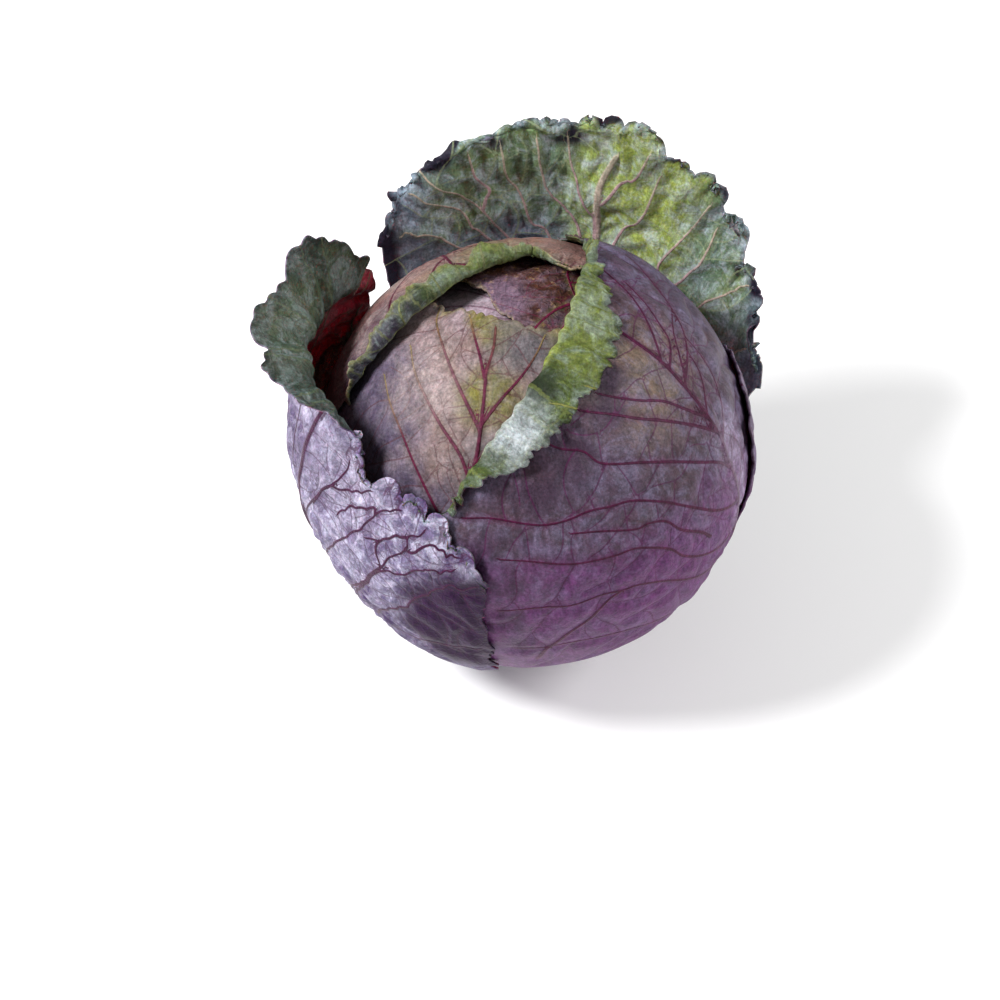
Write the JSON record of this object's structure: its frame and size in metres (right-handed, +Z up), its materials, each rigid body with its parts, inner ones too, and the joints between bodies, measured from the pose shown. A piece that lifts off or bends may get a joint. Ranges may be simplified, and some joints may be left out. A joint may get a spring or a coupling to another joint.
{
  "type": "red cabbage head",
  "caption": "Red cabbage head on its cut stem: a dense heart, leaves wrapped round it with rolled margins, and loose outer leaves that stand open.",
  "frame": {"origin": "centre of the flat cut face of the stem, on which the head rests", "axes": "+Z up through the heart to the crown, +X towards the side that the biggest rolled leaf wraps, -Y towards the side where the front leaf shows between the rolled margins"},
  "size_m": [0.189, 0.1831, 0.1672],
  "materials": {
    "stem": "pale, dry cut face",
    "inner_leaf": "matt, waxy bloom",
    "crown_leaf": "matt, mottled brown and purple",
    "front_leaf": "satin, pinkish tan with purple veins",
    "back_leaf": "satin, tan and pink, green-grey where it is rolled",
    "right_leaf": "satin, dusky purple with a pale bloom",
    "left_leaf": "matt, lilac-grey outside, dark green inside",
    "low_leaf": "satin, purple",
    "back_outer_leaf": "satin, green inside, purple-grey at its edge"
  },
  "bodies": {
    "root": {"stem": "stem", "heart": "inner_leaf", "crown_leaf": "crown_leaf", "front_leaf": "front_leaf", "back_rolled_leaf": "back_leaf", "right_rolled_leaf": "right_leaf", "left_outer_leaf": "left_leaf", "right_outer_leaf": "low_leaf", "back_outer_leaf": "back_outer_leaf"}
  },
  "joints": []
}
